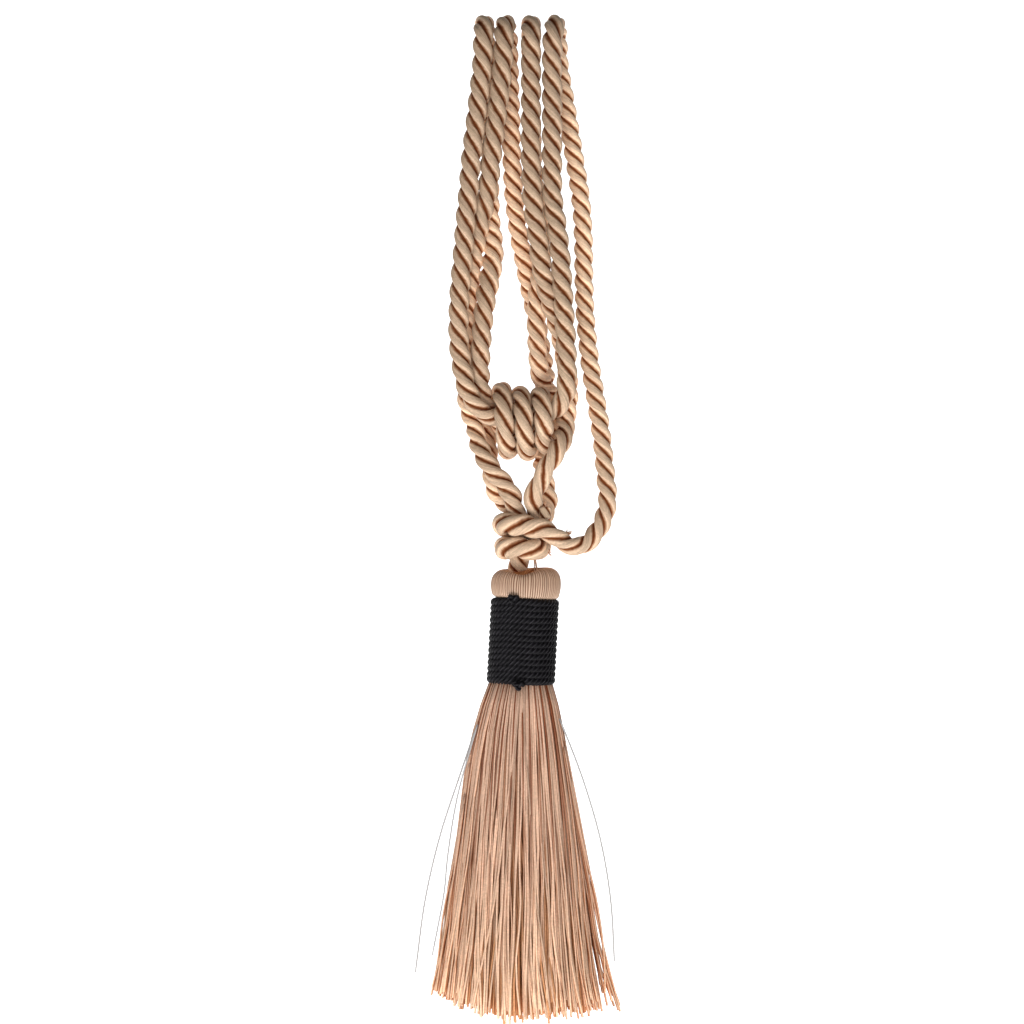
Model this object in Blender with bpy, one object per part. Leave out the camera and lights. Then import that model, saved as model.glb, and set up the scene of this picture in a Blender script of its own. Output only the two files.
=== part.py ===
"""Curtain tieback: a hank of three-ply rope, a barrel wrap, a round knot and one tassel.

Run with blender --background --python part.py. Lengths are written in millimetres and turned into
metres where a mesh is made. +Z is up, the front faces -Y, and the origin is where the four top
bends rest on whatever holds them up.
"""
import math

import bmesh
import bpy
import numpy as np

MM = 0.001

# The rope: three plies in an S-lay.
ROPE_RADIUS = 4.75
GROOVE_RADIUS = 3.3
LAY_PITCH = 24.0
RINGS_A_LAY = 7
ROPE_STEP = LAY_PITCH / RINGS_A_LAY
COIL_CORE_RADIUS = 4.5
KNOT_CORE_RADIUS = 3.4
NECK_RADIUS = 4.6

# The four bends hang on something about as thick as a finger's tip.
HOOK_RADIUS = 4.9
BEND_RADIUS = HOOK_RADIUS + ROPE_RADIUS + 0.1
BEND_ANGLES = (15, 40, 65, 90, 115, 140, 165)

# The barrel wrap's turns run round a level axis, along X.
WRAP_CENTRE_Z = -194.25
WRAP_RADIUS = 13.9
WRAP_PITCH = 10.25
WRAP_TOP_X = -9.75
WRAP_FIRST_TURN = -0.15
WRAP_LAST_TURN = 2.27
POINTS_A_TURN = 14

# How far two ropes' middles are kept apart, past their two radii.
OWN_GAP = 0.15
OTHER_GAP = 0.4
RELAX_ROUNDS = 260
RELAX_STEP = 2.2
PAIR_ROUNDS = 20
PAIR_MARGIN = 3.0
BEND_REACH = 15.0
EASY_WAY = np.array([0.75, 1.0, 0.75])

# Each leg is a list of (x, y, z) in millimetres, from top to bottom.
FRONT_LEG_1 = [
    (-17.75, -9.75, -13), (-20.25, -9.75, -38), (-23.25, -9.75, -63), (-24.75, -9.8, -83),
    (-26.25, -9.8, -98), (-27.75, -9.5, -113), (-29.5, -9.5, -133), (-29.75, -9, -153),
    (-27.75, -8.5, -168), (-25.25, -8, -178), (-21.25, -7, -185), (-16.75, -5.5, -189.5),
]
FRONT_LEG_2 = [
    (-7.75, -9.75, -13), (-10.75, -9.5, -38), (-13.75, -8.5, -63), (-14.75, -7.5, -73),
    (-16.25, -6, -83), (-17.75, -5, -89), (-19.5, -2.5, -97), (-21.0, 0.5, -110),
    (-22.3, 2, -120.5), (-23.9, 3, -133), (-24.6, 3, -143), (-25.2, 3, -153), (-24.6, 3, -168),
    (-23.6, 3, -177), (-22.5, 3, -184.5), (-21.0, 2.8, -191.5), (-19.75, 1.5, -196.5),
    (-19.25, -1.5, -203), (-17, -5, -210.5), (-13.5, -6.5, -217), (-8.75, -7, -223),
    (-4.75, -7.5, -228.5), (-1.8, -7.5, -236), (0.5, -5.5, -242), (1.5, -4, -246.5),
]
FRONT_LEG_3 = [
    (6.25, -9.75, -13), (6.25, -9.75, -38), (6.25, -9.75, -63), (7, -9.5, -83),
    (9.75, -9.3, -103), (11.25, -8, -115), (13, -6, -124), (15.25, -4, -133),
    (18.25, -2, -143), (21, 0, -153), (22.75, 1, -163.5), (24, 1.5, -174.5),
    (23.25, 1.5, -183), (21.5, 0.5, -190), (20, -3, -197), (17.5, -10, -203.5),
    (14.5, -13, -210.5), (11, -12.5, -218), (7.75, -10.5, -226.5), (5.75, -8.5, -233),
    (6.5, -6, -239), (8, -4.3, -243.5), (8.5, -4, -246.5),
]
FRONT_LEG_4 = [
    (16.75, -9.75, -13), (16.75, -9.75, -38), (16.75, -9.75, -63), (17, -9.75, -83),
    (18.75, -9.8, -95.5), (20.5, -10, -113), (21.5, -10.5, -133), (23.25, -10.5, -153),
    (23.75, -10.5, -163.5), (23.75, -10, -174.5), (22.75, -9, -180), (20.25, -7.5, -185),
    (16.25, -5, -188.5),
]
BACK_LEG_1 = [
    (-16.25, 9.75, -13), (-15.75, 9.5, -38), (-14.75, 8, -63), (-14.75, 6, -83),
    (-15, 5.5, -95.5), (-14.5, 3, -108), (-15, 1, -114), (-15.75, -1, -120.5),
    (-17.25, -3.5, -133), (-18.5, -4.5, -153), (-18.5, -4, -168), (-17.25, -2, -176),
    (-15.25, 0.5, -182), (-12, 3, -188),
]
BACK_LEG_2 = [
    (-4.75, 9.75, -13), (-4, 9.75, -38), (-3.25, 9.75, -63), (-2, 9.75, -83), (1, 9.75, -103),
    (3.25, 10, -113), (5.25, 11, -123), (7.25, 11.5, -133), (9.25, 12, -143), (10.75, 12, -153),
    (12.5, 13, -163), (13.75, 16.5, -172), (14.25, 21, -179), (14, 25, -186), (13.25, 26, -194),
    (12.25, 22, -203), (11.25, 15, -210.5), (12.25, 8.5, -218), (13.75, 5, -228),
    (15, 4, -235.5), (14, 4, -242), (11.5, 4.2, -247),
]
BACK_LEG_3 = [
    (6.25, 9.75, -13), (6.5, 9.75, -38), (7.25, 9.75, -63), (9.25, 9.5, -83), (11.25, 8, -103),
    (11.25, 5, -118), (10.5, 2.5, -128), (9.75, 0.5, -138), (9.5, -0.5, -148), (9.5, 0, -158),
    (9.8, 2, -166), (10.5, 6, -172.5), (13, 11, -178), (16, 14.5, -185), (17.8, 15, -194),
    (16.5, 11.5, -202), (14.5, 4.5, -206.3), (13, -3, -206.3),
]
BACK_LEG_4 = [
    (20.25, 9.75, -13), (24.25, 9, -38), (28.25, 8, -63), (31.25, 6, -83), (32.5, 4, -103),
    (32.75, 3, -123), (33.25, 2, -138), (34.5, 1.5, -153), (36.25, 1, -168), (38.75, 0, -183),
    (41.75, -1, -203), (43.75, -2, -223), (44.5, -3, -233), (42.25, -4, -243),
    (36.75, -6, -251.75), (30.75, -8, -256), (23.75, -10, -254.5), (18.25, -12, -250.5),
]
# The lower left leg behind, from the round knot up to the wrap.
LOWER_LEFT_BACK = [
    (1.5, 4, -249), (1.25, 4, -245), (0.25, 4, -240.5), (-2.75, 4, -237), (-6.75, 4, -234.5),
    (-10.25, 4, -231), (-12.5, 4.5, -226), (-13.5, 5, -220.5), (-14.75, 6, -213),
    (-15.75, 8.5, -207), (-16, 12, -201), (-15, 14.5, -194),
]
# Through the wrap, from the left to the right.
THROUGH_WRAP = [(-11, -3.5, -191), (-3, -3.3, -191), (5, -3.3, -191), (11.5, -3.6, -190.3)]
TUCKED_IN_WRAP = [(8, 3.4, -197.5), (0, 3.4, -197.5), (-7, 3.4, -196.5)]
# The round knot's two turns, from the right-hand loop on.
KNOT_TURNS = [
    (13.25, -13, -247.5), (5.75, -13.3, -245.5), (-1.25, -12, -244.5), (-5.5, -7, -244),
    (-6.25, 0, -244.5), (-5.25, 7, -245.5), (-1.25, 12, -247), (4.25, 12.5, -249),
    (8.75, 9.5, -252), (10.75, 3, -254.5), (10.25, -4, -256.5), (7.25, -9, -257),
    (2.75, -10.5, -256.5), (-2.75, -9, -256.25), (-6.25, -3, -256.25), (-6, 4, -256.25),
    (-3.25, 9, -255.8), (1.5, 10.8, -257),
]
# The hairpin inside the knot, which joins the two lower legs in front.
KNOT_HAIRPIN = [(7.3, -4, -249.5), (5, -4, -250.7), (2.7, -4, -249.5)]

# The neck rope, from inside the knot down into the tassel's dimple.
NECK_POINTS = [(1.8, 0, -254.2), (1.2, 0, -257.5), (0.2, 0, -261), (-0.2, 0, -264.5), (0.1, 0, -268.3)]

# The cut end that stands up on the round knot.
ROPE_END_POINTS = [(13.6, -9.6, -242.2), (13.3, -9.2, -240), (12.9, -8.8, -237)]
ROPE_END_RADIUS = 2.7

# The tassel leans a little: its foot is where the collar ends and its axis runs up to the neck.
TASSEL_FOOT = (1.05, 0.0, -325.5)
TASSEL_LEAN = math.radians(3.0)
WAIST_RADIUS = 14.1
COLLAR_HEIGHT = 43.4
COLLAR_TURNS = 14
COLLAR_CREST_RADIUS = 17.3
COLLAR_GROOVE_RADIUS = 16.2
COLLAR_SIDES = 16
SKIRT_SECTORS = 40
SKIRT_RINGS = 4
# Head profile: radius, height up the tassel's axis, sideways shift.
HEAD_PROFILE = [
    (14.1, 0.0, 0.0), (14.1, 43.9, 0.0), (16.3, 44.2, 0.0), (17.1, 47.0, 0.0), (17.3, 51.0, 0.0),
    (16.6, 55.2, 0.0), (14.3, 58.2, -0.2), (11.2, 59.3, -0.9), (8.2, 58.9, -2.2),
    (6.0, 57.4, -3.4), (5.0, 55.9, -3.8),
]
# Skirt levels: z, left edge, right edge, half its depth.
SKIRT_LEVELS = [(-358.0, -24.25, 24.25, 19.5), (-412.0, -31.5, 33.5, 26.0), (-473.0, -40.0, 45.8, 32.0)]
SKIRT_ROOT_RINGS = (0.28, 0.54, 0.78, 1.0)
SKIRT_ENDS_Z = (-478.0, -489.5, -485.0)
LOCK_SHARE = 0.84
# Strays: the sector they grow from, how far past the skirt they swing at each level, their end's z.
STRAY_LOCKS = {20: (1.5, 9.0, 12.5, -469.0), 0: (1.0, 2.5, 6.0, -484.5), 39: (1.0, 5.0, 4.0, -463.0)}
STRAY_SHARE = 0.45

COLOURS = {
    "satin rope": (0.62, 0.45, 0.31, 1.0),
    "tassel thread": (0.66, 0.42, 0.26, 1.0),
    "black cord": (0.015, 0.014, 0.016, 1.0),
}


def smooth_curve(points, step):
    """Points about `step` apart on a centripetal curve through every one of `points`."""
    p = np.array(points, dtype=float)
    first = 2 * p[0] - p[1]
    last = 2 * p[-1] - p[-2]
    p = np.vstack([first, p, last])
    fine = []
    for k in range(1, len(p) - 2):
        a, b, c, d = p[k - 1], p[k], p[k + 1], p[k + 2]
        t0 = 0.0
        t1 = t0 + math.sqrt(np.linalg.norm(b - a))
        t2 = t1 + math.sqrt(np.linalg.norm(c - b))
        t3 = t2 + math.sqrt(np.linalg.norm(d - c))
        for t in np.linspace(t1, t2, 16, endpoint=False):
            ab = (t1 - t) / (t1 - t0) * a + (t - t0) / (t1 - t0) * b
            bc = (t2 - t) / (t2 - t1) * b + (t - t1) / (t2 - t1) * c
            cd = (t3 - t) / (t3 - t2) * c + (t - t2) / (t3 - t2) * d
            abc = (t2 - t) / (t2 - t0) * ab + (t - t0) / (t2 - t0) * bc
            bcd = (t3 - t) / (t3 - t1) * bc + (t - t1) / (t3 - t1) * cd
            fine.append((t2 - t) / (t2 - t1) * abc + (t - t1) / (t2 - t1) * bcd)
    fine.append(p[-2])
    return resample(np.array(fine), step)


def resample(p, step):
    """The same line with even steps of about `step`."""
    length = np.concatenate([[0.0], np.cumsum(np.linalg.norm(np.diff(p, axis=0), axis=1))])
    count = max(2, int(round(length[-1] / step)) + 1)
    even = np.linspace(0.0, length[-1], count)
    return np.stack([np.interp(even, length, p[:, k]) for k in range(p.shape[1])], axis=1)


def bend(from_leg, to_leg):
    """The points over the hook, from the top of one leg to the top of another."""
    start, end = from_leg[0], to_leg[0]
    side = 1.0 if start[1] > 0 else -1.0
    points = []
    for degrees in BEND_ANGLES:
        share = degrees / 180.0
        angle = math.radians(degrees)
        x = start[0] + (end[0] - start[0]) * share
        y = side * BEND_RADIUS * math.cos(angle)
        z = -HOOK_RADIUS + BEND_RADIUS * math.sin(angle)
        points.append((x, y, z))
    return points


def wrap_turns():
    """The wrap's turns: over the top, down the front and up the back, stepping to the right."""
    count = int((WRAP_LAST_TURN - WRAP_FIRST_TURN) * POINTS_A_TURN)
    points = []
    for k in range(count + 1):
        turn = WRAP_FIRST_TURN + (WRAP_LAST_TURN - WRAP_FIRST_TURN) * k / count
        angle = 2 * math.pi * turn
        x = WRAP_TOP_X + WRAP_PITCH * turn
        points.append((x, -WRAP_RADIUS * math.sin(angle), WRAP_CENTRE_Z + WRAP_RADIUS * math.cos(angle)))
    return points


def rope_routes():
    """The two long ropes' own points, end to end."""
    loop_rope = (
        TUCKED_IN_WRAP + BACK_LEG_1[::-1] + bend(BACK_LEG_1, FRONT_LEG_1) + FRONT_LEG_1
        + THROUGH_WRAP + FRONT_LEG_4[::-1] + bend(FRONT_LEG_4, BACK_LEG_4) + BACK_LEG_4 + KNOT_TURNS
    )
    wrap_rope = (
        LOWER_LEFT_BACK + wrap_turns() + BACK_LEG_3[::-1] + bend(BACK_LEG_3, FRONT_LEG_3)
        + FRONT_LEG_3 + KNOT_HAIRPIN + FRONT_LEG_2[::-1] + bend(FRONT_LEG_2, BACK_LEG_2) + BACK_LEG_2
    )
    return [loop_rope, wrap_rope]


def radius_at(p):
    """The rope is squeezed where it runs inside the wrap and inside the round knot."""
    x, y, z = p[:, 0], p[:, 1], p[:, 2]
    radius = np.full(len(p), ROPE_RADIUS)
    in_wrap = (np.hypot(y, z - WRAP_CENTRE_Z) < 8.0) & (x > -12.0) & (x < 14.0)
    radius[in_wrap] = COIL_CORE_RADIUS
    in_knot = (z < -237.0) & (z > -252.5) & (np.abs(y) < 7.0) & (x > -3.5) & (x < 15.0)
    radius[in_knot] = KNOT_CORE_RADIUS
    for _ in range(3):
        radius[1:-1] = (radius[:-2] + 2 * radius[1:-1] + radius[2:]) / 4
    return radius


def relaxed(routes):
    """The routes eased apart until no two ropes lie inside each other, mostly from front to back."""
    lines = [smooth_curve(r, RELAX_STEP) for r in routes]
    p = np.vstack(lines)
    rest = p.copy()
    starts = np.concatenate([[0], np.cumsum([len(line) for line in lines])])
    for done in range(RELAX_ROUNDS):
        if done % PAIR_ROUNDS == 0:
            i, j, keep = close_pairs(lines, p)
        apart = p[i] - p[j]
        distance = np.linalg.norm(apart, axis=1) + 1e-9
        short = np.clip(keep - distance, 0.0, 2.0)
        push = np.zeros_like(p)
        hits = np.zeros(len(p))
        for ends, sign in ((i, 1.0), (j, -1.0)):
            np.add.at(push, ends, sign * apart / distance[:, None] * short[:, None])
            np.add.at(hits, ends, short > 0)
        move = p - rest + 0.6 * push / np.maximum(1.0, hits)[:, None] * EASY_WAY
        for s, e in zip(starts[:-1], starts[1:]):
            part = move[s:e]
            part[1:-1] = part[1:-1] + 0.2 * (part[:-2] - 2 * part[1:-1] + part[2:])
        p = rest + move
    return [p[s:e] for s, e in zip(starts[:-1], starts[1:])]


def close_pairs(lines, p):
    """Which points may press on each other, and how far apart each pair is kept."""
    rope_number = np.concatenate([np.full(len(line), k) for k, line in enumerate(lines)])
    along = np.concatenate([np.arange(len(line)) * RELAX_STEP for line in lines])
    radius = np.concatenate([radius_at(line) for line in lines])
    i, j = np.triu_indices(len(p), 1)
    same = rope_number[i] == rope_number[j]
    keep = radius[i] + radius[j] + np.where(same, OWN_GAP, OTHER_GAP)
    near = np.linalg.norm(p[i] - p[j], axis=1) < keep + PAIR_MARGIN
    near &= ~(same & (np.abs(along[i] - along[j]) < BEND_REACH))
    return i[near], j[near], keep[near]


def frames(p):
    """A steady pair of side vectors at each point, carried along without twist."""
    ahead = np.gradient(p, axis=0)
    ahead /= np.linalg.norm(ahead, axis=1)[:, None]
    side = np.zeros_like(p)
    first = np.cross(ahead[0], (0.0, 1.0, 0.0))
    side[0] = first / np.linalg.norm(first)
    for k in range(1, len(p)):
        turned = side[k - 1] - ahead[k] * np.dot(side[k - 1], ahead[k])
        side[k] = turned / np.linalg.norm(turned)
    return ahead, side, np.cross(ahead, side)


def material(name, roughness):
    """One plain Principled material for each finish."""
    found = bpy.data.materials.get(name)
    if found is not None:
        return found
    made = bpy.data.materials.new(name)
    made.use_nodes = True
    shader = made.node_tree.nodes["Principled BSDF"]
    shader.inputs["Base Color"].default_value = COLOURS[name]
    shader.inputs["Roughness"].default_value = roughness
    made.diffuse_color = COLOURS[name]
    return made


def add_object(name, vertices, faces, finish, roughness):
    """A closed mesh, given in millimetres, as one named object."""
    mesh = bpy.data.meshes.new(name)
    mesh.from_pydata([tuple(float(c) * MM for c in v) for v in vertices], [], faces)
    shape = bmesh.new()
    shape.from_mesh(mesh)
    bmesh.ops.recalc_face_normals(shape, faces=shape.faces)
    shape.to_mesh(mesh)
    shape.free()
    mesh.materials.append(material(finish, roughness))
    made = bpy.data.objects.new(name, mesh)
    bpy.context.scene.collection.objects.link(made)
    return made


def rope(name, path, radius, finish="satin rope"):
    """A three-ply rope along a line: a star of crests and grooves that turns with the lay."""
    line = resample(np.column_stack([path, radius]), ROPE_STEP)
    p, size = line[:, :3], line[:, 3]
    ahead, side, up = frames(p)
    vertices = []
    for k in range(len(p)):
        turn = -2 * math.pi * k / RINGS_A_LAY
        for corner in range(6):
            angle = turn + corner * math.pi / 3
            reach = size[k] if corner % 2 == 0 else size[k] * GROOVE_RADIUS / ROPE_RADIUS
            vertices.append(p[k] + reach * (math.cos(angle) * side[k] + math.sin(angle) * up[k]))
    faces = []
    for k in range(len(p) - 1):
        for corner in range(6):
            a = 6 * k + corner
            b = 6 * k + (corner + 1) % 6
            # Each quad is cut along the line of the lay.
            faces.append((a, b, b + 6))
            faces.append((a, b + 6, a + 6))
    last = 6 * (len(p) - 1)
    faces.append((5, 4, 3, 2, 1, 0))
    faces.append(tuple(range(last, last + 6)))
    return add_object(name, vertices, faces, finish, 0.55)


def tassel_point(x, y, height):
    """A point of the leaning tassel: across, in depth and up its axis."""
    across = (math.cos(TASSEL_LEAN), -math.sin(TASSEL_LEAN))
    along = (math.sin(TASSEL_LEAN), math.cos(TASSEL_LEAN))
    return (
        TASSEL_FOOT[0] + x * across[0] + height * along[0],
        TASSEL_FOOT[1] + y,
        TASSEL_FOOT[2] + x * across[1] + height * along[1],
    )


def skirt_point(level, u, v):
    """Where the root's point (u, v) of the unit circle lies at one level of the skirt."""
    z, left, right, depth = SKIRT_LEVELS[level]
    return np.array(((left + right) / 2 + u * (right - left) / 2, v * depth, z))


def end_height(u):
    """The uneven hem: short on the left, longest in the middle."""
    left, middle, right = SKIRT_ENDS_Z
    if u < 0:
        return middle + (left - middle) * u * u
    return middle + (right - middle) * u * u


def lock_corners(level, corners, share, swing):
    """One lock's four corners at a level, drawn in towards its own middle and swung outwards."""
    at = [skirt_point(level, u, v) for u, v in corners]
    middle = sum(at) / 4
    away = np.array((middle[0], middle[1], 0.0))
    away /= max(1e-6, np.linalg.norm(away))
    return [middle + (c - middle) * share + away * swing for c in at]


def tassel():
    """Head, waist and skirt in one: the threads fold over the head and hang on below the collar."""
    vertices, faces = [], []
    count = SKIRT_SECTORS
    for radius, height, shift in HEAD_PROFILE:
        for k in range(count):
            angle = 2 * math.pi * k / count
            vertices.append(tassel_point(shift + radius * math.cos(angle), radius * math.sin(angle), height))
    for ring in range(len(HEAD_PROFILE) - 1):
        for k in range(count):
            a = ring * count + k
            b = ring * count + (k + 1) % count
            faces.append((a, b, b + count, a + count))
    top = (len(HEAD_PROFILE) - 1) * count
    vertices.append(tassel_point(HEAD_PROFILE[-1][2], 0.0, HEAD_PROFILE[-1][1] - 0.6))
    for k in range(count):
        faces.append((top + k, top + (k + 1) % count, len(vertices) - 1))
    # The underside's rings, the outermost of which is the waist's own first ring.
    root = {SKIRT_RINGS - 1: 0}
    for ring in range(SKIRT_RINGS - 1):
        root[ring] = len(vertices)
        for k in range(count):
            angle = 2 * math.pi * k / count
            reach = WAIST_RADIUS * SKIRT_ROOT_RINGS[ring]
            vertices.append(tassel_point(reach * math.cos(angle), reach * math.sin(angle), 0.0))
    faces.append(tuple(root[0] + k for k in range(count)))
    for ring in range(1, SKIRT_RINGS):
        for k in range(count):
            add_lock(vertices, faces, root, ring, k)
    return add_object("tassel", vertices, faces, "tassel thread", 0.6)


def add_lock(vertices, faces, root, ring, k):
    """One four-sided lock, grown from one cell of the underside."""
    count = SKIRT_SECTORS
    after = (k + 1) % count
    below = [root[ring - 1] + k, root[ring] + k, root[ring] + after, root[ring - 1] + after]
    inner, outer = SKIRT_ROOT_RINGS[ring - 1], SKIRT_ROOT_RINGS[ring]
    start, end = 2 * math.pi * k / count, 2 * math.pi * (k + 1) / count
    corners = [(r * math.cos(a), r * math.sin(a)) for r, a in
               ((inner, start), (outer, start), (outer, end), (inner, end))]
    middle_u = sum(c[0] for c in corners) / 4
    stray = STRAY_LOCKS.get(k) if ring == SKIRT_RINGS - 1 else None
    # A fixed, uneven step from lock to lock stands in for chance.
    uneven = math.sin(12.9898 * k + 78.233 * ring)
    for level in range(len(SKIRT_LEVELS)):
        share = LOCK_SHARE
        swing = 0.0
        if stray is not None:
            share = STRAY_SHARE
            swing = stray[level]
        at = lock_corners(level, corners, share, swing)
        if level == len(SKIRT_LEVELS) - 1:
            z = end_height(middle_u) + 2.6 * uneven
            if stray is not None:
                z = stray[3]
            for c in at:
                c[2] = z
        first = len(vertices)
        vertices.extend(at)
        above = [first + n for n in range(4)]
        for n in range(4):
            m = (n + 1) % 4
            faces.append((below[n], below[m], above[m], above[n]))
        below = above
    faces.append(tuple(below))


def collar():
    """The black cord's wound turns as one ridged sleeve round the waist."""
    inner = WAIST_RADIUS + 0.3
    pitch = COLLAR_HEIGHT / COLLAR_TURNS
    profile = [(inner, 0.3), (COLLAR_GROOVE_RADIUS, 0.3)]
    for turn in range(COLLAR_TURNS):
        profile.append((COLLAR_CREST_RADIUS, 0.3 + pitch * (turn + 0.5)))
        profile.append((COLLAR_GROOVE_RADIUS, 0.3 + pitch * (turn + 1)))
    profile.append((inner, 0.3 + COLLAR_HEIGHT))
    vertices, faces = [], []
    for radius, height in profile:
        for k in range(COLLAR_SIDES):
            angle = 2 * math.pi * k / COLLAR_SIDES
            vertices.append(tassel_point(radius * math.cos(angle), radius * math.sin(angle), height))
    for ring in range(len(profile)):
        after = (ring + 1) % len(profile)
        for k in range(COLLAR_SIDES):
            m = (k + 1) % COLLAR_SIDES
            faces.append((ring * COLLAR_SIDES + k, ring * COLLAR_SIDES + m,
                          after * COLLAR_SIDES + m, after * COLLAR_SIDES + k))
    return add_object("collar", vertices, faces, "black cord", 0.45)


def collar_knot(name, x, height, width, tall):
    """A small black knot against the front of the collar."""
    out = COLLAR_CREST_RADIUS + 0.05
    angle_y = -math.sqrt(out * out - x * x) - width * 0.42
    mesh = bmesh.new()
    bmesh.ops.create_icosphere(mesh, subdivisions=1, radius=1.0)
    vertices = []
    for v in mesh.verts:
        vertices.append(tassel_point(x + v.co.x * width / 2, angle_y + v.co.y * width * 0.42,
                                     height + v.co.z * tall / 2))
    faces = [tuple(v.index for v in f.verts) for f in mesh.faces]
    mesh.free()
    return add_object(name, vertices, faces, "black cord", 0.45)


def main():
    for found in list(bpy.data.objects):
        bpy.data.objects.remove(found, do_unlink=True)
    routes = relaxed(rope_routes())
    for name, path in zip(("loop_rope", "wrap_rope"), routes):
        rope(name, path, radius_at(path))
    neck = smooth_curve(NECK_POINTS, 1.0)
    rope("neck_rope", neck, np.interp(neck[:, 2], (-260.0, -256.0), (NECK_RADIUS, KNOT_CORE_RADIUS)))
    end = smooth_curve(ROPE_END_POINTS, 1.0)
    rope("rope_end", end, np.full(len(end), ROPE_END_RADIUS))
    tassel()
    collar()
    collar_knot("collar_knot_top", -5.9, COLLAR_HEIGHT - 0.2, 5.6, 4.4)
    collar_knot("collar_knot_bottom", -1.1, 0.4, 6.2, 4.6)


main()
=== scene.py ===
"""The looks of the rope tieback: three-ply rope, corded collar, thread-covered head and skirt."""

import math
import random

import bpy
import numpy as np
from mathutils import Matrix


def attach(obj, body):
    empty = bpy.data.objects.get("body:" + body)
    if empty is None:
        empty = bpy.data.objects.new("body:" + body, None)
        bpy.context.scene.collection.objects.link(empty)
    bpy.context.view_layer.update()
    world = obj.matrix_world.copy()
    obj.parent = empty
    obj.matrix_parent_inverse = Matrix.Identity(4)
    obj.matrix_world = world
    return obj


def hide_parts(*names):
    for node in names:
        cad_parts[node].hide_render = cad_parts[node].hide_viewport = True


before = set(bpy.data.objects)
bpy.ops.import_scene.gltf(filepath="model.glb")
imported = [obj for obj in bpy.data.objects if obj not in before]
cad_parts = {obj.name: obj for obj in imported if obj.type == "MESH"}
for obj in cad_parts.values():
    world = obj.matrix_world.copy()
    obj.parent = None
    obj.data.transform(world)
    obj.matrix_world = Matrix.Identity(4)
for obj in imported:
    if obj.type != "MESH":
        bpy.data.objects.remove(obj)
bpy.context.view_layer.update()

MM = 0.001

# The rope and how its routes are eased apart, as in the part: sizes in millimetres.
ROPE_RADIUS = 4.75
RELAX_STEP = 2.2
CURVE_POINTS = 16
COIL_CORE_RADIUS = 4.5
KNOT_CORE_RADIUS = 3.4
NECK_RADIUS = 4.6
HOOK_RADIUS = 4.9
BEND_RADIUS = HOOK_RADIUS + ROPE_RADIUS + 0.1
BEND_ANGLES = (15, 40, 65, 90, 115, 140, 165)
WRAP_CENTRE_Z = -194.25
WRAP_RADIUS = 13.9
WRAP_PITCH = 10.25
WRAP_TOP_X = -9.75
WRAP_FIRST_TURN = -0.15
WRAP_LAST_TURN = 2.27
POINTS_A_TURN = 14
OWN_GAP = 0.15
OTHER_GAP = 0.4
RELAX_ROUNDS = 260
PAIR_ROUNDS = 20
PAIR_MARGIN = 3.0
BEND_REACH = 15.0
MOST_PUSH = 2.0
PUSH_SHARE = 0.6
SPREAD_SHARE = 0.2
EASY_WAY = np.array([0.75, 1.0, 0.75])

# The drawn rope alone: its plies, its steps, and how much thicker it is in places.
PLY_COUNT = 3
PLY_POINTS = 12
PLY_RADIUS = 2.66
PLY_OFFSET = 2.28
FINE_STEP = 1.15
STUB_STEP = 0.8
STUB_CURVE_STEP = 1.0
END_BULGE = 0.8
KNOT_SWELL = 1.17
ABOVE_KNOT_SWELL = 1.1
FRONT_SWELL = 1.06
CROSSING_SWELL = 1.13
LEAST_OPEN_RADIUS = 4.5
ROPE_END_RADIUS = 3.3
NECK_FLARE = 0.7
NECK_FLARE_Z = (-261.0, -257.0)

# Millimetres of drawn rope for each turn of its lay; from LAY_BACK_Y on, back changes to front.
BACK_LAY = 24.5
FRONT_LAY = 28.5
COIL_LAY = 33.0
OPEN_LAY = 42.0
KNOT_LAY = 30.0
LAY_BACK_Y = 2.0
LAY_CHANGE = 8.0

# Stretches of rope, each by its limits in x, y and z in millimetres.
FREE = (-math.inf, math.inf)
KNOT_CORE = ((-3.5, 15.0), (-7.0, 7.0), (-252.5, -237.0))
OPEN_BELOW_WRAP = ((-1.0, 16.0), (-math.inf, -3.0), (-math.inf, -214.0))
KNOT_LAID = ((-math.inf, 13.0), FREE, (-math.inf, -242.0))
KNOT_OPEN = ((-math.inf, 13.0), FREE, (-math.inf, -240.0))
ABOVE_KNOT = ((-math.inf, 12.0), (-math.inf, -2.0), (-244.0, -228.0))
FRONT_LEGS = (FREE, (-math.inf, -3.0), (-180.0, math.inf))
CROSSING = ((-math.inf, -10.0), (-5.0, 6.0), (-132.0, -96.0))

# Stretches at the wrap, each by its limits in the distance from the wrap's axis and in x.
WRAP_CORE = ((-math.inf, 8.0), (-12.0, 14.0))
WRAP_COIL = ((10.0, 18.0), (-14.0, 16.0))

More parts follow.
